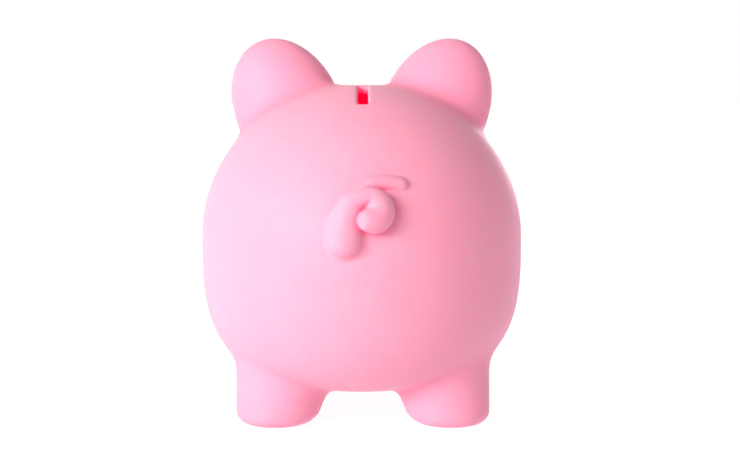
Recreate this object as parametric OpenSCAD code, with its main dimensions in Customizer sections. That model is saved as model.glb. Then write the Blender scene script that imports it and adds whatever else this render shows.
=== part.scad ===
// Figural coin bank: a standing pig with a hollow soft-vinyl skin, a push-in belly stopper,
// a separately moulded curly tail and two bead eyes. Millimetres, +Z up, the pig faces -Y.
// The origin is on the ground, under the middle of the whole object.

/* [Body] */
// Width of the trunk, side to side
body_w = 131; // [122:1:140]
// Length of the trunk without snout and tail
body_l = 144; // [136:1:152]
// Height of the widest level above the ground
waist_z = 71.7; // [70:0.1:74]
// Rise of the crown above the widest level
crown_h = 62.6; // [60:0.1:65]
// Drop of the belly below the widest level
belly_h = 59.4; // [57:0.1:61]
// Squareness of the upper half, 2 being an ellipse
crown_n = 2.08; // [2:0.01:2.4]
// Squareness of the lower half, 2 being an ellipse
belly_n = 3.15; // [2.6:0.05:3.5]
// Thickness of the moulded wall
wall_t = 2.8; // [2.4:0.1:3.2]

/* [Ears] */
// Width of an ear
ear_w = 45.2; // [40:0.1:48]
// Height of an ear along its own leaning axis
ear_h = 62.4; // [56:0.1:66]
// Thickness of an ear, front to back
ear_t = 26; // [22:1:30]
// Distance of an ear's centre from the middle plane
ear_x = 30.5; // [28:0.1:33]
// Distance of an ear's centre in front of the trunk's middle
ear_front = 18; // [12:1:22]
// Height of an ear's centre above the widest level
ear_rise = 50.8; // [48:0.1:53]
// Outward lean of an ear, in degrees
ear_lean = 24; // [18:1:28]

/* [Legs] */
// Diameter of a sole
sole_d = 32; // [28:0.5:34]
// Diameter of a leg where it has widened towards the trunk
thigh_d = 44; // [38:0.5:46]
// Height at which a leg has its thigh diameter
thigh_z = 30; // [26:1:34]
// Distance of a sole's centre from the middle plane
leg_x = 35.2; // [34:0.1:37]
// Distance of the front soles in front of the trunk's middle
leg_front = 30; // [28:0.5:32]
// Distance of the rear soles behind the trunk's middle
leg_rear = 26; // [25:0.5:28]

/* [Coin slot] */
// Width of the coin slot
slot_w = 4.8; // [4.6:0.1:5.4]
// Length of the coin slot
slot_l = 30; // [28:1:34]
// Distance of the slot's middle behind the trunk's middle
slot_y = 13.5; // [8:0.5:16]

/* [Snout and eyes] */
// Width of the snout
snout_w = 38; // [34:1:42]
// Height of the snout
snout_h = 29; // [26:1:32]
// How far the snout stands out from the trunk
snout_out = 12; // [10:0.5:13]
// Drop of the snout's middle below the widest level
snout_drop = 3; // [0:0.5:6]
// Diameter of a nostril
nostril_d = 6; // [5:0.5:7]
// Depth of a nostril
nostril_depth = 1.8; // [1.2:0.1:2]
// Distance between the nostrils
nostril_gap = 14; // [12:0.5:16]
// Diameter of an eye
eye_d = 10; // [8:0.5:12]
// How far an eye stands out from its seat
eye_out = 4; // [3:0.5:4.5]
// Turn of an eye away from the middle plane, in degrees
eye_turn = 21; // [18:1:26]
// Turn of an eye above the widest level, in degrees
eye_lift = 16; // [12:1:20]

/* [Stopper] */
// Diameter of the hole in the belly
hole_d = 30; // [28:0.5:31]
// Diameter of the stopper's flange
flange_d = 35; // [34:0.5:36]
// Thickness of the stopper's flange
flange_t = 1.8; // [1.4:0.1:2]
// Height of the stopper's skirt above its flange
skirt_h = 8; // [7:0.5:10]
// Thickness of the stopper's skirt
skirt_t = 2; // [1.6:0.1:2.4]
// Radial clearance between stopper and hole
stopper_gap = 0.05; // [0.03:0.01:0.1]

/* [Tail] */
// Diameter of the tail's spigot
spigot_d = 6; // [5:0.5:6.5]
// Diameter of the barb behind the wall
barb_d = 8.4; // [8:0.2:9]
// Size of the curl, 1 being its normal size
curl_size = 1; // [0.9:0.05:1.1]

/* [Hidden] */
$fn = 64;

// The trunk and what is derived from it
belly_z = waist_z - belly_h;
waist = [0, 0, waist_z];
ear_blend = 4;
leg_blend = 9;
leg_spare = 5;

// The tail: places relative to the widest level, as side, height out of the skin, rise and radius
curl_route = [
    [6.4, 0.2, 8.4, 6.3],
    [6.5, 1.2, 12.6, 6.6],
    [5.9, 2.4, 17.4, 6.1],
    [4.1, 4.4, 22.2, 5.2],
    [0.8, 6.6, 25.3, 4.5],
    [-3.1, 7.4, 26.1, 4.2],
    [-6.9, 7.6, 24.5, 4.3],
    [-8.4, 7.6, 20.8, 4.4],
    [-6.8, 7.8, 17.1, 4.5],
    [-3.0, 8.2, 16.0, 4.5]
];
tip_route = [
    [1.6, 2.0, 22.6, 3.2],
    [0.6, 1.4, 26.6, 3.2],
    [-1.6, 0.9, 29.8, 3.1],
    [-6.0, 0.8, 31.6, 2.9],
    [-11.2, 0.5, 31.4, 2.6],
    [-15.6, 0.2, 30.2, 2.3]
];
curl_steps = 4;
ring_sides = 12;
cap_rings = 3;
bed_steps = 8;
spigot_at = [6.4, 9.4];
spigot_gap = 0.05;

// Reaches to the front and to the rear, which the origin lies halfway between
snout_reach = body_l / 2 + snout_out;
tail_reach = back_y(curl_route[9].x, curl_route[9].z)
    + (curl_route[9].y + curl_route[9][3]) * curl_size;
trunk_y = (snout_reach - tail_reach) / 2;

// The eyes' seats
eye_seat = 1.2;
eye_gap = 0.05;
eye_stem_d = 3.2;
eye_stem_l = 3.4;
eye_barb_d = 4.4;
eye_barb_h = 1.4;

// The snout's rounded rim
snout_rim = 4;
rim_steps = 4;
snout_sides = 40;
snout_root = 18;

// The belly hole, its outer recess and its inner collar
hole_y = (leg_rear - leg_front) / 2;
recess_d = flange_d + 0.6;
seat_z = belly_z + 1.4;
collar_d = hole_d + 7;
collar_top = seat_z + wall_t;
cut = 1;

// Grids of the outer and inner skins
outer_rows = 46;
outer_columns = 60;
inner_rows = 36;
inner_columns = 44;
grid_bias = 0.35;
near_reach = 20;
far_reach = 130;
halvings = 13;
centre_slide = 15;

// Smooth union of two signed distances
function soft_min(a, b, k) =
    let (h = max(k - abs(a - b), 0) / k)
    min(a, b) - h * h * h * k / 6;

// Distance to the trunk: round in plan, with a squarer profile below the widest level
function trunk(p) =
    let (
        up = p.z >= 0,
        height = up ? crown_h : belly_h,
        n = up ? crown_n : belly_n,
        u = norm([p.x / (body_w / 2), p.y / (body_l / 2)]) + 1e-6,
        w = abs(p.z) / height + 1e-6,
        s = pow(u, n) + pow(w, n),
        steep = pow(s, 1 / n - 1),
        across = norm([p.x / pow(body_w / 2, 2), p.y / pow(body_l / 2, 2)]) / u
    )
    (pow(s, 1 / n) - 1)
        / norm([steep * pow(u, n - 1) * across, steep * pow(w, n - 1) / height]);

// Distance to an ellipsoid with the half axes r
function ellipsoid(p, r) =
    let (
        near = norm([p.x / r.x, p.y / r.y, p.z / r.z]),
        slope = norm([p.x / pow(r.x, 2), p.y / pow(r.y, 2), p.z / pow(r.z, 2)])
    )
    near * (near - 1) / (slope + 1e-6);

// Distance to an ear, a leaning lobe; p.x is already on the ear's side
function ear(p) =
    let (
        x = p.x - ear_x,
        z = p.z - ear_rise,
        q = [x * cos(ear_lean) - z * sin(ear_lean), p.y + ear_front, x * sin(ear_lean) + z * cos(ear_lean)]
    )
    ellipsoid(q, [ear_w, ear_t, ear_h] / 2);

// Distance to a leg that widens upwards, keeps its outer side upright and reaches below the ground
function leg(p, y) =
    let (
        t = min(max(p.z + waist_z, 0) / thigh_z, 1),
        grow = (thigh_d - sole_d) / 2 * t
    )
    max(norm([p.x - leg_x + grow, p.y - y]) - sole_d / 2 - grow, -p.z - waist_z - leg_spare);

// Distance to the whole skin without snout, from a point relative to the trunk's middle
function skin(p) =
    let (
        q = [abs(p.x), p.y, p.z],
        high = q.z > 0 ? soft_min(trunk(q), ear(q), ear_blend) : trunk(q),
        legs = q.z < 0 ? min(leg(q, leg_rear), leg(q, -leg_front)) : 2 * far_reach
    )
    soft_min(high, max(legs, q.z), leg_blend);

// Distance to the skin with its feet closed, used for the inner skin
function closed_skin(p) = max(skin(p), -p.z - waist_z);

// How far the skin reaches from a centre c in direction d, less a depth
function reach(c, d, depth, near = near_reach, far = far_reach, left = halvings) =
    let (mid = (near + far) / 2)
    left == 0
        ? mid
        : (depth > 0 ? closed_skin(c + mid * d) : skin(c + mid * d)) < -depth
            ? reach(c, d, depth, mid, far, left - 1)
            : reach(c, d, depth, near, mid, left - 1);

// The centre of a row: it slides forward under the ears, so that it sees both of their faces
function centre_of(polar) = [0, -centre_slide * (1 - pow(1 - max(cos(polar), 0), 2)), 0];

// The point of the skin at a turn and a polar angle
function skin_point(turn, polar, depth) =
    let (c = centre_of(polar), d = direction(turn, polar))
    c + reach(c, d, depth) * d;

// Faces of a closed tube whose points are rings of equal numbers of sides
function tube_faces(rings, sides) =
    let (at = function (i, j) i * sides + (j % sides))
    concat(
        [[for (j = [0 : sides - 1]) at(0, j)]],
        [[for (j = [sides - 1 : -1 : 0]) at(rings - 1, j)]],
        [
            for (i = [0 : rings - 2], j = [0 : sides - 1], half = [0, 1])
                half == 0
                    ? [at(i, j), at(i + 1, j), at(i, j + 1)]
                    : [at(i, j + 1), at(i + 1, j), at(i + 1, j + 1)]
        ]
    );

// Unit direction from a turn about Z and a polar angle from +Z
function direction(turn, polar) = [sin(polar) * cos(turn), sin(polar) * sin(turn), cos(polar)];

// Rows and columns are closer together at the ears and legs
function polar_of(t) = 180 * t + 45 * grid_bias / PI * sin(720 * t);
function turn_of(s) = 360 * s + 45 * grid_bias / PI * sin(1440 * s);

// A closed skin at a depth, as seen from the trunk's middle
module skin_solid(depth, rows, columns) {
    rim = [
        for (i = [1 : rows - 1], j = [0 : columns - 1])
            skin_point(turn_of(j / columns), polar_of(i / rows), depth)
    ];
    last = len(rim);
    points = concat(rim, [skin_point(0, 0, depth), skin_point(0, 180, depth)]);
    function at(i, j) = i * columns + (j % columns);
    faces = concat(
        [for (j = [0 : columns - 1]) [last, at(0, j + 1), at(0, j)]],
        [for (j = [0 : columns - 1]) [last + 1, at(rows - 2, j), at(rows - 2, j + 1)]],
        [
            for (i = [0 : rows - 3], j = [0 : columns - 1], half = [0, 1])
                let (
                    a = at(i, j),
                    b = at(i, j + 1),
                    c = at(i + 1, j),
                    d = at(i + 1, j + 1),
                    falling = norm(points[a] - points[d]) < norm(points[b] - points[c])
                )
                half == 0
                    ? (falling ? [a, b, d] : [a, b, c])
                    : (falling ? [a, d, c] : [b, d, c])
        ]
    );
    translate(waist)
        polyhedron(points, faces, convexity = 6);
}

// How far behind the trunk's middle its surface lies at a side and a rise in the upper half
function back_y(side, rise) =
    let (u = pow(1 - pow(rise / crown_h, crown_n), 1 / crown_n))
    body_l / 2 * sqrt(u * u - pow(side / (body_w / 2), 2));

// An oval boss along -Y with a rounded rim and a flat end; grow makes it thicker all round
module snout_form(grow) {
    front = snout_reach + grow;
    rim = snout_rim + min(grow, 0) / 2;
    profile = concat(
        [[0, body_l / 2 - snout_root]],
        [for (k = [0 : rim_steps]) let (a = 90 * k / rim_steps) [rim * (1 - cos(a)), front - rim * (1 - sin(a))]]
    );
    last = len(profile) - 1;
    points = [
        for (s = profile, j = [0 : snout_sides - 1])
            let (a = 360 * j / snout_sides)
            [
                (snout_w / 2 + grow - s[0]) * cos(a),
                -s[1],
                waist_z - snout_drop + (snout_h / 2 + grow - s[0]) * sin(a)
            ]
    ];
    polyhedron(points, tube_faces(last + 1, snout_sides), convexity = 2);
}

// Its children at both nostrils
module at_nostrils() {
    for (side = [-1, 1])
        translate([side * nostril_gap / 2, -snout_reach, waist_z - snout_drop])
            rotate([90, 0, 0])
                children();
}

// Its children at an eye's seat, with +Z out of the skin
module at_eye(side) {
    turn = -90 + side * eye_turn;
    polar = 90 - eye_lift;
    translate(waist + skin_point(turn, polar, 0))
        rotate([0, polar, turn])
            children();
}

// Everything solid on the skin's outside
module skin_outside() {
    difference() {
        skin_solid(0, outer_rows, outer_columns);
        translate([-body_w, -body_l, -waist_z])
            cube([2 * body_w, 2 * body_l, waist_z]);
    }
    snout_form(0);
}

module body_shell() {
    color("pink")
        translate([0, trunk_y, 0])
            difference() {
                skin_outside();
                difference() {
                    union() {
                        skin_solid(wall_t, inner_rows, inner_columns);
                        snout_form(-wall_t);
                    }
                    translate([0, hole_y, 0])
                        cylinder(d = collar_d, h = collar_top);
                }
                translate([0, hole_y, 0]) {
                    cylinder(d = hole_d, h = collar_top + cut);
                    cylinder(d = recess_d, h = seat_z);
                }
                translate([-slot_w / 2, slot_y - slot_l / 2, waist_z])
                    cube([slot_w, slot_l, 2 * crown_h]);
                translate([spigot_at.x, body_l / 4, waist_z + spigot_at.y])
                    rotate([-90, 0, 0])
                        cylinder(d = spigot_d, h = body_l / 2);
                at_nostrils()
                    translate([0, 0, -nostril_depth])
                        cylinder(d = nostril_d, h = nostril_depth + cut);
                for (side = [-1, 1])
                    at_eye(side) {
                        translate([0, 0, -eye_seat])
                            cylinder(d = eye_d, h = eye_seat + eye_out);
                        translate([0, 0, -2 * wall_t - eye_seat])
                            cylinder(d = eye_stem_d, h = 2 * wall_t + eye_seat);
                    }
            }
}

// A bung: a flange that lies in the belly's recess, a hollow skirt in the hole and a finger bar
module stopper() {
    skirt_r = hole_d / 2 - stopper_gap;
    lead = 0.6;
    bar = [16, 4, 3];
    color("hotpink")
        translate([0, trunk_y + hole_y, seat_z]) {
            rotate_extrude()
                polygon([
                    [0, -flange_t],
                    [flange_d / 2 - lead, -flange_t],
                    [flange_d / 2, lead - flange_t],
                    [flange_d / 2, 0],
                    [skirt_r, 0],
                    [skirt_r, skirt_h - lead],
                    [skirt_r - lead, skirt_h],
                    [skirt_r - skirt_t, skirt_h],
                    [skirt_r - skirt_t, 0],
                    [0, 0]
                ]);
            translate([0, 0, -flange_t - bar.z])
                linear_extrude(bar.z) {
                    square([bar.x - bar.y, bar.y], center = true);
                    for (side = [-1, 1])
                        translate([side * (bar.x - bar.y) / 2, 0])
                            circle(d = bar.y);
                }
        }
}

// A tail point with its height out of the skin turned into a place
function placed(p) =
    let (
        side = spigot_at.x + (p.x - spigot_at.x) * curl_size,
        rise = spigot_at.y + (p.z - spigot_at.y) * curl_size
    )
    [side, back_y(side, rise) + p.y * curl_size, waist_z + rise, p[3] * curl_size];

// A smooth curve through the route's points, each with its radius
function curve(route, steps) =
    let (last = len(route) - 1)
    [
        for (i = [0 : last - 1], k = [0 : steps - (i == last - 1 ? 0 : 1)])
            let (
                t = k / steps,
                a = route[max(i - 1, 0)],
                b = route[i],
                c = route[i + 1],
                d = route[min(i + 2, last)]
            )
            b + (c - a) * t / 2
                + (2 * a - 5 * b + 4 * c - d) * t * t / 2
                + (3 * b - a - 3 * c + d) * t * t * t / 2
    ];

function place(p) = [p.x, p.y, p.z];
function unit(v) = v / norm(v);
function heading(path, i) = unit(place(path[min(i + 1, len(path) - 1)]) - place(path[max(i - 1, 0)]));

// A round strand along the route, with round ends
module strand(route) {
    path = curve([for (p = route) placed(p)], curl_steps);
    last = len(path) - 1;
    stations = concat(
        [
            for (k = [cap_rings : -1 : 1])
                let (a = 90 * k / (cap_rings + 0.5), r = path[0][3])
                [place(path[0]) - heading(path, 0) * r * sin(a), r * cos(a), heading(path, 0)]
        ],
        [for (i = [0 : last]) [place(path[i]), path[i][3], heading(path, i)]],
        [
            for (k = [1 : cap_rings])
                let (a = 90 * k / (cap_rings + 0.5), r = path[last][3])
                [place(path[last]) + heading(path, last) * r * sin(a), r * cos(a), heading(path, last)]
        ]
    );
    rings = len(stations);
    points = [
        for (s = stations, j = [0 : ring_sides - 1])
            let (across = unit(cross([0, 1, 0], s[2])), out = cross(s[2], across), a = 360 * j / ring_sides)
            s[0] + (across * cos(a) + out * sin(a)) * s[1]
    ];
    polyhedron(points, tube_faces(rings, ring_sides), convexity = 4);
}

// The part of the trunk that the tail lies on, as a block with the trunk's own rear surface
module tail_bed() {
    low = [-22, -4];
    high = [18, 40];
    depth = body_l / 4;
    n = bed_steps + 1;
    grid = [
        for (i = [0 : bed_steps], j = [0 : bed_steps])
            let (
                side = low.x + (high.x - low.x) * j / bed_steps,
                rise = low.y + (high.y - low.y) * i / bed_steps
            )
            [side, back_y(side, max(rise, 0)), waist_z + rise]
    ];
    points = concat(grid, [for (p = grid) [p.x, depth, p.z]]);
    function at(i, j) = i * n + j;
    function behind(i, j) = n * n + at(i, j);
    edge = concat(
        [for (j = [0 : bed_steps - 1]) [0, j]],
        [for (i = [0 : bed_steps - 1]) [i, bed_steps]],
        [for (j = [bed_steps : -1 : 1]) [bed_steps, j]],
        [for (i = [bed_steps : -1 : 1]) [i, 0]]
    );
    faces = concat(
        [
            for (i = [0 : bed_steps - 1], j = [0 : bed_steps - 1], half = [0, 1])
                half == 0
                    ? [at(i, j), at(i, j + 1), at(i + 1, j)]
                    : [at(i, j + 1), at(i + 1, j + 1), at(i + 1, j)]
        ],
        [
            for (i = [0 : bed_steps - 1], j = [0 : bed_steps - 1], half = [0, 1])
                half == 0
                    ? [behind(i, j), behind(i + 1, j), behind(i, j + 1)]
                    : [behind(i, j + 1), behind(i + 1, j), behind(i + 1, j + 1)]
        ],
        [
            for (k = [0 : len(edge) - 1], half = [0, 1])
                let (a = edge[k], b = edge[(k + 1) % len(edge)])
                half == 0
                    ? [at(a[0], a[1]), behind(a[0], a[1]), at(b[0], b[1])]
                    : [at(b[0], b[1]), behind(a[0], a[1]), behind(b[0], b[1])]
        ]
    );
    polyhedron(points, faces, convexity = 2);
}

// The curly tail, carved underneath to the skin's shape, with its spigot and barb
module tail() {
    wall_y = body_l / 2;
    barb_y = wall_y - wall_t - 3;
    color("pink")
        translate([0, trunk_y, 0]) {
            difference() {
                union() {
                    strand(curl_route);
                    strand(tip_route);
                }
                tail_bed();
            }
            translate([spigot_at.x, 0, waist_z + spigot_at.y])
                rotate([-90, 0, 0]) {
                    translate([0, 0, barb_y])
                        cylinder(d = spigot_d - 2 * spigot_gap, h = wall_y + 2 - barb_y);
                    translate([0, 0, barb_y - 2])
                        cylinder(d1 = spigot_d - 1, d2 = barb_d, h = 2);
                }
        }
}

// A glossy bead on a stem that is pushed through the wall
module eye(side) {
    flat_r = eye_d / 2 - eye_gap;
    ball_r = (flat_r * flat_r + eye_out * eye_out) / (2 * eye_out);
    color("black")
        translate([0, trunk_y, 0])
            at_eye(side) {
                translate([0, 0, -eye_seat])
                    cylinder(r = flat_r, h = eye_seat);
                intersection() {
                    translate([0, 0, eye_out - ball_r])
                        sphere(ball_r);
                    cylinder(r = flat_r + cut, h = eye_out + cut);
                }
                translate([0, 0, -eye_seat - eye_stem_l])
                    cylinder(d = eye_stem_d - 2 * eye_gap, h = eye_stem_l);
                translate([0, 0, -eye_seat - eye_stem_l - eye_barb_h])
                    cylinder(d1 = eye_stem_d - 1, d2 = eye_barb_d, h = eye_barb_h);
            }
}

module eye_left() {
    eye(1);
}

module eye_right() {
    eye(-1);
}

body_shell();
stopper();
tail();
eye_left();
eye_right();
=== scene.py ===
"""A standing pig coin bank in matte pink vinyl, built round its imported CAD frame.

The skin, the tail and the stopper are each given as a signed distance, in millimetres, and turned into
a mesh of quads whose points lie on that surface. Their places are measured from the ground under the
trunk's middle, with the pig facing -Y, and the sizes follow the CAD part.
"""
import math

import bpy
import numpy as np
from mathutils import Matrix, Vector


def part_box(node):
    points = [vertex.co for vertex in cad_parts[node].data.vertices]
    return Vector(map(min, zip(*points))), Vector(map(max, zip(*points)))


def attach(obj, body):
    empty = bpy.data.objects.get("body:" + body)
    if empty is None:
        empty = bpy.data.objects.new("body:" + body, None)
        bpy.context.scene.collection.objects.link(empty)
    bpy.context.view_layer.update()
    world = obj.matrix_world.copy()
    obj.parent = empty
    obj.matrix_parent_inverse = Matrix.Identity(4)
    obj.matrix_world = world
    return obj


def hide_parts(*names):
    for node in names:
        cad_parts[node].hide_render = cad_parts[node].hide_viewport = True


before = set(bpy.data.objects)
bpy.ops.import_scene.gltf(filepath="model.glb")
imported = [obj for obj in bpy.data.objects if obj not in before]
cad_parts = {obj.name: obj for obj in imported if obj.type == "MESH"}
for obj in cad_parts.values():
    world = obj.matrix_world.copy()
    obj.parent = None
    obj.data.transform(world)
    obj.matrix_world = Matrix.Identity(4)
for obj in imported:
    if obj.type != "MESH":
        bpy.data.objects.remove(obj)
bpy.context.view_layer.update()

MM = 0.001

# Trunk
TRUNK_W = 131.0
TRUNK_L = 144.0
WAIST_Z = 71.7
CROWN_H = 62.6
BELLY_H = 59.4
CROWN_N = 2.08
BELLY_N = 3.15
WALL = 2.95
WALL_EDGE = 0.4

# Ears: a fillet of the first size in front and of the second one behind
EAR_AT = (30.5, -20.5, WAIST_Z + 50.8)
EAR_R = (22.2, 11.0, 31.2)
EAR_BACK = 17.5
EAR_LEAN = math.radians(24.0)
EAR_BLEND = (5.0, 12.0)
EAR_BLEND_RUN = 12.0
EAR_CUP_FRONT = 17.0
EAR_CUP_DROP = 1.0
EAR_CUP_R = (15.0, 10.5, 22.0)
EAR_CUP_EDGE = 4.0

# Legs
LEG_X = 35.2
LEG_SHIFT = -0.45
LEG_FRONT = -30.0
LEG_REAR = 26.0
SOLE_R = 16.0
SOLE_ROUND = 5.0
THIGH_R = 22.0
THIGH_Z = 30.0
LEG_SLOPE = 1.15
LEG_BLEND = 6.5

# Snout, nostrils and smile
SNOUT_R = (19.0, 14.5)
SNOUT_Z = WAIST_Z - 3.0
SNOUT_Y = -84.0
SNOUT_ROOT_Y = -TRUNK_L / 2.0 + 18.0
SNOUT_RIM = 4.0
SNOUT_BLEND = 3.0
NOSTRIL_X = 7.0
NOSTRIL_R = (2.7, 1.9, 3.9)
NOSTRIL_EDGE = 1.2
SMILE_HALF = 17.0
SMILE_DROP = 25.5
SMILE_LIFT = 6.0
SMILE_R = 1.15
SMILE_EDGE = 1.0

# Eyes: beads on stems, each stem given as radius and height over the skin
EYE_TURN = math.radians(21.0)
EYE_LIFT = math.radians(16.0)
EYE_R = 5.0
EYE_GAP = 0.06
EYE_OUT = 3.96
EYE_SEAT = 1.2
EYE_SEAT_EDGE = 0.5
EYE_STEM = [(1.2, -5.9), (2.1, -4.6), (1.55, -4.55), (1.55, -1.3), (4.6, -1.17)]
EYE_DOME_RINGS = 15
EYE_SIDES = 64

# Coin slot, with a thicker wall round it
SLOT_HALF = (2.1, 15.0)
SLOT_X = -0.4
SLOT_Y = 14.4
SLOT_LOW = WAIST_Z + 20.0
SLOT_CORNER = 1.1
SLOT_EDGE = 2.0
SLOT_WALL = 1.0
SLOT_WALL_HALF = 3.0
SLOT_WALL_RUN = 9.0

# Belly hole, with a recess for the flange and a collar inside
HOLE_Y = -2.0
HOLE_R = 15.0
HOLE_EDGE = 0.8
HOLE_OVER_COLLAR = 4.0
RECESS_R = 17.8
RECESS_EDGE = 0.6
SEAT_Z = WAIST_Z - BELLY_H + 1.4
COLLAR_R = 20.6
COLLAR_TOP = SEAT_Z + WALL
COLLAR_EDGE = 0.6
COLLAR_BLEND = 1.5

# Stopper, with heights from its seat
FLANGE_R = 17.5
FLANGE_HALF = 0.9
FLANGE_EDGE = 0.7
SKIRT_R = 13.93
SKIRT_WALL_HALF = 1.0
SKIRT_MIDDLE = 3.5
SKIRT_HALF = 4.5
SKIRT_EDGE = 0.5
SKIRT_BLEND = 0.6
GROOVE_AT = 13.0
GROOVE_R = 0.5
GROOVE_EDGE = 0.4
BAR_HALF = (6.0, 2.0, 1.6)
BAR_DROP = 3.2
BAR_EDGE = 0.9
BAR_BLEND = 1.2

# The tail's strands: side, height out of the skin, rise above the waist, radius
CURL = (
    (6.4, 0.2, 8.4, 6.3),
    (6.5, 1.2, 12.6, 6.6),
    (5.9, 2.4, 17.4, 6.0),
    (4.0, 3.8, 22.2, 5.0),
    (0.9, 4.9, 25.0, 4.1),
    (-3.0, 5.2, 25.8, 3.6),
    (-5.7, 3.5, 23.8, 4.8),
    (-6.4, 2.0, 20.4, 6.1),
    (-5.9, 2.8, 18.0, 5.9),
    (-4.4, 4.4, 17.1, 5.2),
    (-2.4, 5.9, 17.2, 4.35),
)
TIP = (
    (1.6, 2.0, 22.0, 3.0),
    (0.6, 1.4, 25.6, 3.0),
    (-1.6, 0.9, 28.3, 2.9),
    (-6.0, 0.7, 30.0, 2.9),
    (-11.0, 0.4, 30.0, 2.7),
    (-14.8, -0.3, 29.3, 2.6),
)
CURL_STEPS = 7
TIP_STEPS = 6
ROOT_POINTS = 3 * CURL_STEPS + 1
CORE_AT = (1.8, 2.9, 21.0)
CORE_R = (3.0, 2.6, 3.0)
CORE_BLEND = 1.0
LOOP_BLEND = 0.4
ROOT_BLEND = 4.2
TIP_BLEND = 2.2
TAIL_OVER_SKIN = 0.03
TAIL_SPREAD = 5.0
TAIL_DEPTH = 2.2

# Grids: finer zones as start, end and step
SLOT_ZONE_X = (0.0, 4.5, 0.62)
FACE_ZONE_Y = (-87.0, -62.0, 1.2)
SLOT_FRONT_ZONE_Y = (-4.0, 0.5, 0.85)
SLOT_REAR_ZONE_Y = (26.5, 30.5, 0.85)
SOLE_ZONE_Z = (-1.5, 3.4, 1.0)
STOPPER_ZONE_Z = (9.0, 17.5, 1.0)
SMILE_ZONE_Z = (44.0, 54.0, 1.0)
SLOT_ZONE_Z = (125.0, 135.5, 0.65)

# Colours, with painted shade colours and painted red glows, the distances over which painted crease shade
# is felt, and the strip round the slot that has none
PINK = (0.66, 0.3, 0.415)
# painted shade: the colour the skin is pulled towards in creases, beside the tail and where it faces down
PINK_SHADE = (0.8, 0.14, 0.28)
STOPPER_PINK = (0.86, 0.26, 0.38)
# painted shade colour of the stopper, mixed in a little where it faces down
STOPPER_SHADE = (0.84, 0.23, 0.35)
# painted glow: the red that the cavity is given, standing in for light through the wall
CAVITY_GLOW_RED = (0.995, 0.08, 0.42, 1.0)
# painted glow: a red emission, faint all over the vinyl and stronger in the cavity
THROUGH_GLOW_RED = (1.0, 0.004, 0.07, 1.0)
CREASE_REACHES = (0.8, 2.0, 4.0)
SLOT_STRIP = 5.0
SLOT_STRIP_LOW = WAIST_Z + 45.0

# The shift from the trunk's middle to the frame's, which is under the middle of the whole object
TRUNK_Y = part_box("body_shell")[0].y / MM - SNOUT_Y


# Distances in general

def soft_min(a, b, k):
    """Smooth union of two distances, rounded over k."""
    h = np.maximum(k - np.abs(a - b), 0.0) / k
    return np.minimum(a, b) - h**3 * k / 6.0


def soft_max(a, b, k):
    """Smooth intersection of two distances, rounded over k."""
    return -soft_min(-a, -b, k)


def round_max(a, b, r):
    """Intersection of two distances with a round edge of radius r."""
    qa = a + r
    qb = b + r
    return np.minimum(np.maximum(qa, qb), 0.0) + np.hypot(np.maximum(qa, 0.0), np.maximum(qb, 0.0)) - r


def ellipsoid(x, y, z, r):
    """Close to the distance from an ellipsoid round the origin with the half-axes r."""
    near = np.sqrt((x / r[0]) ** 2 + (y / r[1]) ** 2 + (z / r[2]) ** 2)
    slope = np.sqrt((x / r[0] ** 2) ** 2 + (y / r[1] ** 2) ** 2 + (z / r[2] ** 2) ** 2)
    return near * (near - 1.0) / (slope + 1e-9)


def from_bar(x, y, z, a, b):
    """How far along the bar from a to b each place is, from 0 to 1, and its distance from that bar."""
    ab = np.subtract(b, a)
    t = ((x - a[0]) * ab[0] + (y - a[1]) * ab[1] + (z - a[2]) * ab[2]) / np.dot(ab, ab)
    t = np.clip(t, 0.0, 1.0)
    away = np.sqrt((x - a[0] - ab[0] * t) ** 2 + (y - a[1] - ab[1] * t) ** 2 + (z - a[2] - ab[2] * t) ** 2)
    return t, away


def far_off(x, y, z):
    """A distance to start a union with."""
    return 1e3 * np.ones(np.broadcast(x, y, z).shape)


# The pig's skin

def trunk(x, y, z):
    """Round in plan, with a squarer profile below the widest level."""
    rise = z - WAIST_Z
    up = rise >= 0.0
    height = np.where(up, CROWN_H, BELLY_H)
    n = np.where(up, CROWN_N, BELLY_N)
    half_w = TRUNK_W / 2.0
    half_l = TRUNK_L / 2.0
    u = np.hypot(x / half_w, y / half_l) + 1e-9
    w = np.abs(rise) / height + 1e-9
    s = u**n + w**n
    steep = s ** (1.0 / n - 1.0)
    across = np.hypot(x / half_w**2, y / half_l**2) / u
    slope = np.hypot(steep * u ** (n - 1.0) * across, steep * w ** (n - 1.0) / height)
    return (s ** (1.0 / n) - 1.0) / (slope + 1e-9)


def ear(side_x, y, z):
    """A thick leaning lobe, rounder behind and with a shallow cup in its front."""
    x = side_x - EAR_AT[0]
    h = z - EAR_AT[2]
    u = x * math.cos(EAR_LEAN) - h * math.sin(EAR_LEAN)
    v = x * math.sin(EAR_LEAN) + h * math.cos(EAR_LEAN)
    f = y - EAR_AT[1]
    round_f = np.where(f > 0.0, f * EAR_R[1] / EAR_BACK, f)
    lobe = ellipsoid(u, round_f, v, EAR_R)
    cup = ellipsoid(u, f + EAR_CUP_FRONT, v + EAR_CUP_DROP, EAR_CUP_R)
    return soft_max(lobe, -cup, EAR_CUP_EDGE)


def leg(side_x, y, z, leg_y):
    """Widens inwards on its way up, keeps its outer sides upright and has a rounded sole edge."""
    t = np.clip(z / THIGH_Z, 0.0, 1.0)
    grow = (THIGH_R - SOLE_R) * t
    inward = math.copysign(1.0, leg_y) * grow
    side = (np.hypot(side_x - LEG_X + grow, y - leg_y + inward) - SOLE_R - grow) / LEG_SLOPE
    return round_max(side, -z, SOLE_ROUND)


def snout(x, y, z):
    """An oval boss with a rounded rim."""
    oval = ellipsoid(x, z - SNOUT_Z, 0.0 * x, (SNOUT_R[0], SNOUT_R[1], 1.0))
    boss = round_max(oval, SNOUT_Y - y, SNOUT_RIM)
    return np.maximum(boss, y - SNOUT_ROOT_Y)


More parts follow.
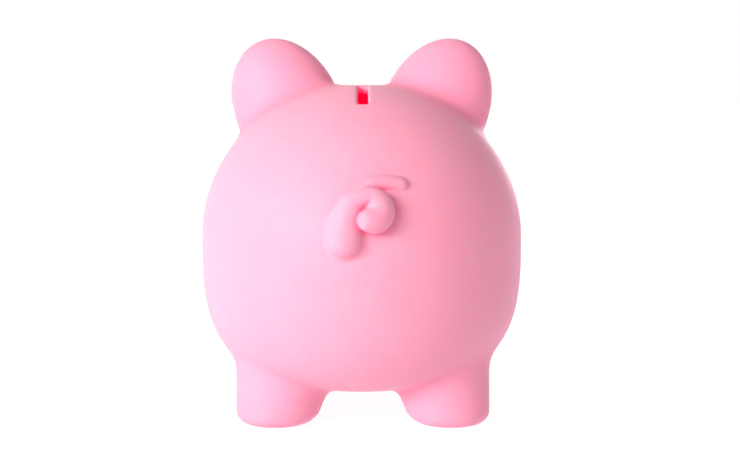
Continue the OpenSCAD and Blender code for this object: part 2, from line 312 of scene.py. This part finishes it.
def body_form(x, y, z):
    """The outside of the skin without its small details."""
    behind = np.clip((y - EAR_AT[1]) / EAR_BLEND_RUN, 0.0, 1.0)
    blend = EAR_BLEND[0] + (EAR_BLEND[1] - EAR_BLEND[0]) * behind**2 * (3.0 - 2.0 * behind)
    high = soft_min(trunk(x, y, z), ear(np.abs(x), y, z), blend)
    leg_x = np.abs(x - LEG_SHIFT)
    legs = np.minimum(leg(leg_x, y, z, LEG_REAR), leg(leg_x, y, z, LEG_FRONT))
    legs = np.maximum(legs, z - WAIST_Z)
    body = soft_min(high, legs, LEG_BLEND)
    return soft_min(body, snout(x, y, z), SNOUT_BLEND)


def trunk_reach(direction):
    """Where a ray from the waist's middle leaves the trunk, and the ray's unit direction."""
    d = np.asarray(direction, float) / np.linalg.norm(direction)
    low, high = 20.0, 120.0
    for _ in range(40):
        mid = (low + high) / 2.0
        p = d * mid
        if trunk(p[0], p[1], p[2] + WAIST_Z) < 0.0:
            low = mid
        else:
            high = mid
    return d * low + (0.0, 0.0, WAIST_Z), d


def eye_direction(side):
    """From the waist's middle to an eye; side is 1 for the pig's left and -1 for its right."""
    return (
        side * math.sin(EYE_TURN) * math.cos(EYE_LIFT),
        -math.cos(EYE_TURN) * math.cos(EYE_LIFT),
        math.sin(EYE_LIFT),
    )


def seat(x, y, z, side):
    """The flat round seat under an eye."""
    at, d = trunk_reach(eye_direction(side))
    h = (x - at[0]) * d[0] + (y - at[1]) * d[1] + (z - at[2]) * d[2]
    r2 = (x - at[0]) ** 2 + (y - at[1]) ** 2 + (z - at[2]) ** 2 - h**2
    return np.maximum(np.sqrt(np.maximum(r2, 0.0)) - EYE_R, -h - EYE_SEAT)


def smile_line():
    """Points of the mouth's groove, on the trunk below the snout."""
    points = []
    for a in np.linspace(-1.0, 1.0, 11):
        x = SMILE_HALF * a
        rise = -SMILE_DROP + SMILE_LIFT * a * a
        u = (1.0 - (abs(rise) / BELLY_H) ** BELLY_N) ** (1.0 / BELLY_N)
        y = -TRUNK_L / 2.0 * math.sqrt(u * u - (x / (TRUNK_W / 2.0)) ** 2)
        points.append((x, y, WAIST_Z + rise))
    return points


def smile(x, y, z):
    """The round groove along the mouth's line."""
    line = smile_line()
    nearest = far_off(x, y, z)
    for a, b in zip(line, line[1:]):
        away = from_bar(x, y, z, a, b)[1]
        nearest = np.minimum(nearest, away - SMILE_R)
    return nearest


def outside(x, y, z):
    """The outside of the skin with its nostrils, eye seats and smile."""
    out = body_form(x, y, z)
    for side in (-1.0, 1.0):
        nostril = ellipsoid(x - side * NOSTRIL_X, y - SNOUT_Y, z - SNOUT_Z, NOSTRIL_R)
        out = soft_max(out, -nostril, NOSTRIL_EDGE)
        out = soft_max(out, -seat(x, y, z, side), EYE_SEAT_EDGE)
    return soft_max(out, -smile(x, y, z), SMILE_EDGE)


def coin_space(x, y, z, out):
    """The cavity inside the wall, without the thicker wall round the slot and the hole's collar."""
    side_gap = np.maximum(np.abs(x) - SLOT_WALL_HALF, 0.0)
    end_gap = np.maximum(np.abs(y - SLOT_Y) - SLOT_HALF[1], 0.0)
    by_slot = np.clip(1.0 - np.hypot(side_gap, end_gap) / SLOT_WALL_RUN, 0.0, 1.0) * (z > SLOT_LOW)
    cavity = out + WALL + SLOT_WALL * by_slot
    collar = round_max(np.hypot(x, y - HOLE_Y) - COLLAR_R, z - COLLAR_TOP, COLLAR_EDGE)
    return soft_max(cavity, -collar, COLLAR_BLEND)


def coin_slot(x, y, z):
    """The straight slot, from above the crown down into the cavity."""
    side_gap = np.abs(x - SLOT_X) - SLOT_HALF[0]
    end_gap = np.abs(y - SLOT_Y) - SLOT_HALF[1]
    return np.maximum(round_max(side_gap, end_gap, SLOT_CORNER), SLOT_LOW - z)


def body_shell(x, y, z):
    """The vinyl skin with its cavity, its hole for the stopper and its coin slot."""
    out = outside(x, y, z)
    shell = soft_max(out, -coin_space(x, y, z, out), WALL_EDGE)
    ring = np.hypot(x, y - HOLE_Y)
    bore = np.maximum(ring - HOLE_R, z - COLLAR_TOP - HOLE_OVER_COLLAR)
    shell = soft_max(shell, -bore, HOLE_EDGE)
    recess = np.maximum(ring - RECESS_R, z - SEAT_Z)
    shell = soft_max(shell, -recess, RECESS_EDGE)
    return soft_max(shell, -coin_slot(x, y, z), SLOT_EDGE)


# The curly tail

def back_y(side, rise):
    """How far behind the trunk's middle its surface lies, in the upper half."""
    u = (1.0 - (rise / CROWN_H) ** CROWN_N) ** (1.0 / CROWN_N)
    return TRUNK_L / 2.0 * math.sqrt(u * u - (side / (TRUNK_W / 2.0)) ** 2)


def smooth_route(route, steps):
    """A curve through the route's points, with their radii."""
    placed = [np.array((s, back_y(s, r) + out, WAIST_Z + r, radius)) for s, out, r, radius in route]
    last = len(placed) - 1
    made = []
    for i in range(last):
        a, b, c, d = (placed[min(max(i + k, 0), last)] for k in (-1, 0, 1, 2))
        for t in np.arange(steps) / steps:
            made.append(
                b
                + (c - a) * t / 2.0
                + (2.0 * a - 5.0 * b + 4.0 * c - d) * t**2 / 2.0
                + (3.0 * b - a - 3.0 * c + d) * t**3 / 2.0
            )
    return made + [placed[last]]


CURL_ROUTE = smooth_route(CURL, CURL_STEPS)
TIP_ROUTE = smooth_route(TIP, TIP_STEPS)
CORE = (-CORE_AT[0], back_y(CORE_AT[0], CORE_AT[2]) + CORE_AT[1], WAIST_Z + CORE_AT[2])


def strand(x, y, z, route):
    """Distance to a round strand whose radius changes along its route."""
    nearest = far_off(x, y, z)
    for a, b in zip(route, route[1:]):
        t, away = from_bar(x, y, z, a[:3], b[:3])
        nearest = np.minimum(nearest, away - a[3] - (b[3] - a[3]) * t)
    return nearest


def strands(x, y, z):
    """Distance to the bare strands."""
    return np.minimum(strand(x, y, z, CURL_ROUTE), strand(x, y, z, TIP_ROUTE))


def tail(x, y, z):
    """The moulded curl: its root and tip flow into the rump, and its loop stands off it."""
    skin = trunk(x, y, z)
    under = skin + TAIL_OVER_SKIN
    root = strand(x, y, z, CURL_ROUTE[:ROOT_POINTS])
    loop = strand(x, y, z, CURL_ROUTE[ROOT_POINTS - 1 :])
    tip = strand(x, y, z, TIP_ROUTE)
    core = ellipsoid(x - CORE[0], y - CORE[1], z - CORE[2], CORE_R)
    near = np.minimum(np.minimum(root, tip), loop)
    curl = np.minimum(soft_min(root, under, ROOT_BLEND), soft_min(tip, under, TIP_BLEND))
    curl = soft_min(curl, soft_min(loop, core, CORE_BLEND), LOOP_BLEND)
    return np.maximum(np.maximum(curl, near - TAIL_SPREAD), -skin - TAIL_DEPTH)


# The stopper

def stopper(x, y, z):
    """A bung: a flange with a groove, a hollow skirt and a finger bar underneath."""
    ring = np.hypot(x, y - HOLE_Y)
    h = z - SEAT_Z
    flange = round_max(ring - FLANGE_R, np.abs(h + FLANGE_HALF) - FLANGE_HALF, FLANGE_EDGE)
    skirt_wall = np.abs(ring - SKIRT_R) - SKIRT_WALL_HALF
    skirt = round_max(skirt_wall, np.abs(h - SKIRT_MIDDLE) - SKIRT_HALF, SKIRT_EDGE)
    bung = soft_min(flange, skirt, SKIRT_BLEND)
    groove = np.hypot(ring - GROOVE_AT, h + 2.0 * FLANGE_HALF) - GROOVE_R
    bung = soft_max(bung, -groove, GROOVE_EDGE)
    bar_x = np.maximum(np.abs(x) - BAR_HALF[0], 0.0)
    bar = round_max(np.hypot(bar_x, y - HOLE_Y) - BAR_HALF[1], np.abs(h + BAR_DROP) - BAR_HALF[2], BAR_EDGE)
    return soft_min(bung, bar, BAR_BLEND)


# Meshes from distances

def grid_lines(low, high, step, zones):
    """Grid places from low to high, closer together inside each zone (start, end, step)."""
    lines = [low]
    while lines[-1] < high:
        at = lines[-1]
        gap = step
        for start, end, fine in zones:
            if start - fine <= at <= end:
                gap = min(gap, fine)
            elif at < start:
                gap = min(gap, max(fine, (start - at) * 0.6 + fine * 0.4))
        lines.append(at + gap)
    return np.array(lines)


def mirrored(lines):
    """The lines of a positive side with their mirror images."""
    return np.concatenate([-lines[:0:-1], lines])


def part_of(axis, low, high):
    """The index of a grid's part from low to high along one axis."""
    part = [slice(None)] * 3
    part[axis] = slice(low, high)
    return tuple(part)


def edge_crossings(f, axes, axis):
    """Which grid edges along one axis cross the zero surface, and the x, y and z of each crossing."""
    near = f[part_of(axis, 0, -1)]
    far = f[part_of(axis, 1, None)]
    cross = (near < 0.0) != (far < 0.0)
    t = np.where(cross, near / np.where(cross, near - far, 1.0), 0.0)
    place = []
    for a, line in enumerate(axes):
        shape = [1, 1, 1]
        shape[a] = -1
        if a == axis:
            place.append(line[:-1].reshape(shape) + t * np.diff(line).reshape(shape))
        else:
            place.append(np.broadcast_to(line.reshape(shape), t.shape))
    return cross, place


def sides_of_cells(axis):
    """The four ways to pick one edge along the axis for every cell."""
    b, c = [a for a in range(3) if a != axis]
    ends = (slice(0, -1), slice(1, None))
    for end_b in ends:
        for end_c in ends:
            part = [slice(None)] * 3
            part[b] = end_b
            part[c] = end_c
            yield tuple(part)


def cell_points(f, axes):
    """The mean crossing of each crossed cell, every cell's row in that list, and the crossed edges."""
    shape = tuple(n - 1 for n in f.shape)
    total = np.zeros(shape + (3,))
    count = np.zeros(shape)
    crossings = []
    for axis in range(3):
        cross, place = edge_crossings(f, axes, axis)
        crossings.append(cross)
        for part in sides_of_cells(axis):
            count += cross[part]
            for a in range(3):
                total[..., a] += np.where(cross[part], place[a][part], 0.0)
    used = count > 0
    index = np.full(shape, -1, dtype=np.int64)
    index[used] = np.arange(int(used.sum()))
    return total[used] / count[used][:, None], index, crossings


def quads_round(inside, index, crossings):
    """A quad through the four cells round each crossed edge, facing outwards."""
    quads = []
    for axis in range(3):
        b, c = (axis + 1) % 3, (axis + 2) % 3
        cross = crossings[axis].copy()
        for a in (b, c):
            cross[part_of(a, 0, 1)] = False
            cross[part_of(a, -1, None)] = False
        at = np.argwhere(cross)
        started = inside[tuple(at.T)]
        around = []
        for db, dc in ((-1, -1), (0, -1), (0, 0), (-1, 0)):
            cell = at.copy()
            cell[:, b] += db
            cell[:, c] += dc
            around.append(index[tuple(cell.T)])
        quad = np.stack(around, axis=1)
        quad[~started] = quad[~started][:, ::-1]
        quads.append(quad)
    return np.concatenate(quads)


def gradient_of(distance, points):
    """The distance's slope at each point."""
    e = 0.02
    x, y, z = points.T
    rise = [
        distance(x + e, y, z) - distance(x - e, y, z),
        distance(x, y + e, z) - distance(x, y - e, z),
        distance(x, y, z + e) - distance(x, y, z - e),
    ]
    return np.stack(rise, axis=1) / (2.0 * e)


def pull_on(distance, points, rounds):
    """Moves points onto the zero surface along its gradient."""
    for _ in range(rounds):
        f = distance(*points.T)
        gradient = gradient_of(distance, points)
        size = np.maximum((gradient**2).sum(axis=1), 0.05)
        points = points - np.clip(f / size, -1.0, 1.0)[:, None] * gradient
    return points


def settle_points(distance, points, quads, rounds):
    """Evens the quads out a little while their points stay on the surface."""
    points = pull_on(distance, points, 3)
    starts, ends = np.concatenate([quads[:, [k, (k + 1) % 4]] for k in range(4)]).T
    n = len(points)
    degree = np.bincount(starts, minlength=n) + np.bincount(ends, minlength=n)
    for _ in range(rounds):
        total = [np.bincount(starts, p[ends], n) + np.bincount(ends, p[starts], n) for p in points.T]
        middle = np.stack(total, axis=1) / np.maximum(degree, 1)[:, None]
        points = pull_on(distance, points + (middle - points) * 0.35, 1)
    return pull_on(distance, points, 1)


def net_of(distance, axes, rounds):
    """Points and quads of the zero surface, with one point in each grid cell that it crosses."""
    x, y, z = np.meshgrid(*axes, indexing="ij", sparse=True)
    f = distance(x, y, z) + 0.0 * (x + y + z)
    points, index, crossings = cell_points(f, axes)
    quads = quads_round(f < 0.0, index, crossings)
    return settle_points(distance, points, quads, rounds), quads


def mesh_object(name, points, quads):
    """A smooth-shaded object from millimetre points in the trunk's frame."""
    mesh = bpy.data.meshes.new(name)
    places = (points + (0.0, TRUNK_Y, 0.0)) * MM
    mesh.vertices.add(len(places))
    mesh.vertices.foreach_set("co", places.ravel())
    mesh.loops.add(quads.size)
    mesh.loops.foreach_set("vertex_index", quads.ravel())
    mesh.polygons.add(len(quads))
    mesh.polygons.foreach_set("loop_start", np.arange(0, quads.size, 4))
    mesh.polygons.foreach_set("use_smooth", np.ones(len(quads), bool))
    mesh.update(calc_edges=True)
    mesh.validate()
    piece = bpy.data.objects.new(name, mesh)
    bpy.context.scene.collection.objects.link(piece)
    return piece


def set_attribute(piece, name, values):
    """Stores a number at each of the piece's points, for its material."""
    piece.data.attributes.new(name, "FLOAT", "POINT").data.foreach_set("value", values)


def near_tail(x, y, z):
    """Whether a place is close enough to the tail for its strands to count."""
    return (np.abs(x) < 28.0) & (y > 45.0) & (z > 65.0) & (z < 120.0)


def crease_shade_of(distance, points):
    """How far each point lies in a crease or close under the tail's strands: 0 in the open, 1 deep between
    two surfaces. This is the amount of painted crease shade.
    """
    normal = gradient_of(distance, points)
    normal /= np.linalg.norm(normal, axis=1)[:, None] + 1e-9
    total = np.zeros(len(points))
    for reach in CREASE_REACHES:
        x, y, z = (points + normal * reach).T
        near = body_shell(x, y, z)
        by_tail = near_tail(x, y, z)
        near[by_tail] = np.minimum(near[by_tail], strands(x[by_tail], y[by_tail], z[by_tail]))
        total += np.clip(1.0 - near / reach, 0.0, 1.0)
    in_slot = (np.abs(points[:, 0]) < SLOT_STRIP) & (points[:, 2] > SLOT_STRIP_LOW)
    return np.where(in_slot, 0.0, np.clip(total / 2.0, 0.0, 1.0))


def depths(points):
    """0 on the outside of the skin and 1 in the cavity, with a gradual change down the slot; the mask of
    the painted red glow in the cavity.
    """
    depth = -body_form(*points.T)
    by_slot = (np.abs(points[:, 0]) < SLOT_STRIP) & (points[:, 2] > SLOT_LOW)
    wall = np.where(by_slot, WALL + SLOT_WALL, WALL)
    fade = np.where(by_slot, WALL, 0.3)
    return np.clip((depth - wall + fade) / fade, 0.0, 1.0)


# Pieces

def make_body():
    """The skin. Its grid cells are smaller than the wall is thick, or its two sides would merge."""
    coarse = 1.6
    xs = mirrored(grid_lines(0.0, 68.0, coarse, [SLOT_ZONE_X]))
    ys = grid_lines(-87.0, 75.0, coarse, [FACE_ZONE_Y, SLOT_FRONT_ZONE_Y, SLOT_REAR_ZONE_Y])
    zs = grid_lines(-1.5, 155.0, coarse, [SOLE_ZONE_Z, STOPPER_ZONE_Z, SMILE_ZONE_Z, SLOT_ZONE_Z])
    points, quads = net_of(body_shell, (xs, ys, zs), 2)
    piece = mesh_object("pig_skin", points, quads)
    # the mask of the painted red glow in the cavity
    set_attribute(piece, "inside", depths(points))
    # painted shade in the skin's creases and on the rump beside the tail
    set_attribute(piece, "crease_shade", crease_shade_of(body_shell, points))
    return piece


def make_tail():
    """The curl, with the part of it that sits in the skin."""
    fine = 0.36
    xs = grid_lines(-26.0, 20.0, fine, [])
    ys = grid_lines(50.0, 84.5, fine, [])
    zs = grid_lines(WAIST_Z - 6.0, WAIST_Z + 40.0, fine, [])
    points, quads = net_of(tail, (xs, ys, zs), 1)
    piece = mesh_object("curly_tail", points, quads)
    # painted shade in the tail's creases and where it meets the skin
    set_attribute(piece, "crease_shade", crease_shade_of(tail, points))
    return piece


def make_stopper():
    """The plug in the belly."""
    fine = 0.5
    xs = mirrored(grid_lines(0.0, 19.0, fine, []))
    ys = grid_lines(HOLE_Y - 19.0, HOLE_Y + 19.0, fine, [])
    zs = grid_lines(SEAT_Z - 6.0, SEAT_Z + 10.0, fine, [])
    points, quads = net_of(stopper, (xs, ys, zs), 1)
    return mesh_object("belly_stopper", points, quads)


def lathe(name, profile, at, axis, sides):
    """A round piece: a profile of (radius, height) turned about an axis at a place."""
    turn = Vector(axis).normalized().to_track_quat("Z", "Y")
    middle = Vector(at) + Vector((0.0, TRUNK_Y, 0.0))
    places = []
    for r, h in profile:
        for k in range(sides):
            a = 2.0 * math.pi * k / sides
            places.append((turn @ Vector((r * math.cos(a), r * math.sin(a), h)) + middle) * MM)
    top = (len(profile) - 1) * sides
    faces = [tuple(range(sides))[::-1], tuple(range(top, top + sides))]
    for ring in range(0, top, sides):
        for k in range(sides):
            n = (k + 1) % sides
            faces.append((ring + k, ring + n, ring + sides + n, ring + sides + k))
    mesh = bpy.data.meshes.new(name)
    mesh.from_pydata(places, [], faces)
    for polygon in mesh.polygons:
        polygon.use_smooth = True
    mesh.update()
    piece = bpy.data.objects.new(name, mesh)
    bpy.context.scene.collection.objects.link(piece)
    return piece


def make_eye(name, side):
    """A domed bead on the stem that holds it in the skin."""
    at, d = trunk_reach(eye_direction(side))
    rim = EYE_R - EYE_GAP
    ball = (rim**2 + EYE_OUT**2) / (2.0 * EYE_OUT)
    profile = EYE_STEM + [(rim, -0.9), (rim, 0.0)]
    opening = math.asin(rim / ball)
    for k in range(1, EYE_DOME_RINGS):
        a = opening * (1.0 - k / EYE_DOME_RINGS)
        profile.append((ball * math.sin(a), EYE_OUT - ball + ball * math.cos(a)))
    return lathe(name, profile, at, d, EYE_SIDES)


# Materials

def nodes_of(name):
    """A new material with its node tree and its shader."""
    material = bpy.data.materials.new(name)
    material.use_nodes = True
    tree = material.node_tree
    return material, tree, tree.nodes["Principled BSDF"]


def set_sockets(tree, node, sockets):
    """Gives each named input of a node its value, or a link where the value is another node's output."""
    for name, value in sockets.items():
        if isinstance(value, bpy.types.NodeSocket):
            tree.links.new(value, node.inputs[name])
        else:
            node.inputs[name].default_value = value


def add_node(tree, kind, output, sockets, **settings):
    """Adds a node with its settings and inputs, and gives one of its outputs."""
    node = tree.nodes.new(kind)
    for name, value in settings.items():
        setattr(node, name, value)
    set_sockets(tree, node, sockets)
    return node.outputs[output]


def noise(tree, place, scale, detail):
    """Cloudy values of about a half; a larger scale gives finer clouds."""
    sockets = {"Vector": place, "Scale": scale, "Detail": detail}
    return add_node(tree, "ShaderNodeTexNoise", "Fac", sockets)


def spread(tree, value, low, high):
    """A value of 0 to 1 spread from low to high."""
    return add_node(tree, "ShaderNodeMapRange", "Result", {"Value": value, "To Min": low, "To Max": high})


def scaled_sum(tree, value, factor, base, clamp=False):
    """The value times a factor, plus a base."""
    sockets = {0: value, 1: factor, 2: base}
    return add_node(tree, "ShaderNodeMath", "Value", sockets, operation="MULTIPLY_ADD", use_clamp=clamp)


def stored(tree, name):
    """A number that set_attribute stored at the mesh's points, or 0 where there is none."""
    return add_node(tree, "ShaderNodeAttribute", "Fac", {}, attribute_name=name)


def two_colours(tree, value, first, second):
    """A colour between the first, at 0, and the second, at 1."""
    ramp = tree.nodes.new("ShaderNodeValToRGB")
    ramp.color_ramp.elements[0].color = (*first, 1.0)
    ramp.color_ramp.elements[1].color = (*second, 1.0)
    tree.links.new(value, ramp.inputs["Fac"])
    return ramp.outputs["Color"]


def painted_under_shade(tree):
    """A little where the surface faces down: painted shade on the underside."""
    normal = add_node(tree, "ShaderNodeNewGeometry", "Normal", {})
    upward = add_node(tree, "ShaderNodeSeparateXYZ", "Z", {"Vector": normal})
    sockets = {"Value": upward, "From Min": -0.05, "From Max": -1.0, "To Min": 0.0, "To Max": 0.08}
    return add_node(tree, "ShaderNodeMapRange", "Result", sockets, interpolation_type="SMOOTHSTEP")


def vinyl(name, base, shade_colour, roughness, bump):
    """Soft matte vinyl that light enters, mottled, with painted shade in creases and where it faces down, a
    painted red glow in the cavity and a faint one all over, and a fine moulded grain.
    """
    material, tree, shader = nodes_of(name)
    place = add_node(tree, "ShaderNodeTexCoord", "Object", {})
    crease_shade = stored(tree, "crease_shade")
    cavity = stored(tree, "inside")
    # random mottle plus painted shade where the surface faces down
    mottle_and_under_shade = scaled_sum(tree, noise(tree, place, 22.0, 3.0), 0.15, painted_under_shade(tree))
    # painted crease shade, added to the mottle, pulls the colour towards the shade colour
    skin_colour = two_colours(tree, scaled_sum(tree, crease_shade, 0.5, mottle_and_under_shade), base, shade_colour)
    # painted glow: the cavity's colour is turned to a bright red
    mix = {"Factor": cavity, "A": skin_colour, "B": CAVITY_GLOW_RED}
    grain = noise(tree, place, 1900.0, 2.0)
    relief = {"Strength": bump, "Distance": 0.0001, "Height": grain}
    set_sockets(
        tree,
        shader,
        {
            "Base Color": add_node(tree, "ShaderNodeMix", "Result", mix, data_type="RGBA"),
            "Normal": add_node(tree, "ShaderNodeBump", "Normal", relief),
            "Roughness": spread(tree, grain, roughness - 0.04, roughness + 0.05),
            "Subsurface Weight": scaled_sum(tree, crease_shade, -1.8, 1.0, clamp=True),
            "Subsurface Radius": (1.0, 0.3, 0.4),
            "Subsurface Scale": 0.0015,
            "Specular IOR Level": 0.22,
            "Sheen Weight": 0.02,
            "Sheen Roughness": 0.5,
            "Emission Color": THROUGH_GLOW_RED,
            # painted glow: red emission, faint all over and stronger in the cavity
            "Emission Strength": scaled_sum(tree, cavity, 0.15, 0.1),
        },
    )
    return material


def bead_plastic(name):
    """Glossy black plastic with faint swirls."""
    material, tree, shader = nodes_of(name)
    place = add_node(tree, "ShaderNodeTexCoord", "Object", {})
    swirl = noise(tree, place, 300.0, 2.0)
    set_sockets(
        tree,
        shader,
        {
            "Base Color": two_colours(tree, swirl, (0.006, 0.005, 0.006), (0.02, 0.014, 0.016)),
            "Roughness": spread(tree, swirl, 0.06, 0.14),
            "Coat Weight": 0.5,
            "Coat Roughness": 0.04,
        },
    )
    return material


def finish_piece(piece, material, body, node):
    """Gives a piece its material and its body, and hides the CAD part that it stands for."""
    piece.data.materials.append(material)
    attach(piece, body)
    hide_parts(node)


# Stage, lights and camera

def make_floor():
    """A pale floor that glows enough to stay white under the pig."""
    size = 9.0
    mesh = bpy.data.meshes.new("floor")
    corners = [(-size, -size, 0.0), (size, -size, 0.0), (size, size, 0.0), (-size, size, 0.0)]
    mesh.from_pydata(corners, [], [(0, 1, 2, 3)])
    floor = bpy.data.objects.new("floor", mesh)
    bpy.context.scene.collection.objects.link(floor)
    material, tree, shader = nodes_of("pale_floor")
    set_sockets(
        tree,
        shader,
        {
            "Base Color": (0.22, 0.22, 0.22, 1.0),
            "Emission Color": (1.0, 1.0, 1.0, 1.0),
            "Emission Strength": 0.86,
            "Roughness": 0.8,
            "Specular IOR Level": 0.1,
        },
    )
    mesh.materials.append(material)


def make_world():
    """A white room, brightest near the horizon and dimmer overhead."""
    world = bpy.data.worlds.new("studio")
    bpy.context.scene.world = world
    world.use_nodes = True
    tree = world.node_tree
    direction = add_node(tree, "ShaderNodeTexCoord", "Generated", {})
    height = add_node(tree, "ShaderNodeSeparateXYZ", "Z", {"Vector": direction})
    fall = tree.nodes.new("ShaderNodeFloatCurve")
    curve = fall.mapping.curves[0]
    curve.points[0].location = (0.0, 1.0)
    curve.points[1].location = (1.0, 0.38)
    for at, strength in ((0.1, 1.0), (0.18, 0.68)):
        curve.points.new(at, strength).handle_type = "VECTOR"
    curve.points[0].handle_type = "VECTOR"
    fall.mapping.update()
    tree.links.new(height, fall.inputs["Value"])
    sky = {"Color": (1.0, 1.0, 1.0, 1.0), "Strength": fall.outputs["Value"]}
    set_sockets(tree, tree.nodes["Background"], sky)


def area_light(name, at, size, power, colour):
    """A flat lamp of a width and height in metres, turned towards the pig's middle."""
    aim = Vector((0.0, 0.0, 0.08))
    data = bpy.data.lights.new(name, "AREA")
    data.shape = "RECTANGLE"
    data.size = size[0]
    data.size_y = size[1]
    data.energy = power
    data.color = colour
    lamp = bpy.data.objects.new(name, data)
    lamp.location = at
    lamp.rotation_euler = (aim - Vector(at)).to_track_quat("-Z", "Y").to_euler()
    bpy.context.scene.collection.objects.link(lamp)


def make_camera():
    """Behind the pig and a little above it, as in the photograph."""
    distance = 0.9
    elevation = math.radians(8.0)
    target = Vector((0.0, TRUNK_Y * MM, 0.074))
    away = Vector((0.0, math.cos(elevation), math.sin(elevation)))
    frame_width = 740.0
    data = bpy.data.cameras.new("camera")
    data.sensor_width = 36.0
    data.lens = 106.27
    data.shift_x = 8.2 / frame_width
    data.shift_y = -3.2 / frame_width
    data.clip_start = 0.01
    data.clip_end = 50.0
    camera = bpy.data.objects.new("camera", data)
    camera.location = target + away * distance
    camera.rotation_euler = (-away).to_track_quat("-Z", "Y").to_euler()
    bpy.context.scene.collection.objects.link(camera)
    bpy.context.scene.camera = camera


skin_vinyl = vinyl("soft_vinyl", PINK, PINK_SHADE, 0.55, 0.25)
stopper_vinyl = vinyl("stopper_vinyl", STOPPER_PINK, STOPPER_SHADE, 0.45, 0.15)
eye_plastic = bead_plastic("eye_plastic")

finish_piece(make_body(), skin_vinyl, "bank", "body_shell")
finish_piece(make_tail(), skin_vinyl, "bank", "tail")
finish_piece(make_stopper(), stopper_vinyl, "stopper", "stopper")
finish_piece(make_eye("bead_eye_left", 1.0), eye_plastic, "bank", "eye_left")
finish_piece(make_eye("bead_eye_right", -1.0), eye_plastic, "bank", "eye_right")

make_floor()
make_world()
area_light("key", (0.915, 1.05, 0.56), (1.0, 0.5), 35.2, (1.0, 1.0, 0.9))
area_light("front", (-0.2, -1.5, 0.14), (1.0, 0.25), 9.0, (1.0, 1.0, 1.0))
make_camera()
bpy.context.scene.view_settings.view_transform = "Standard"
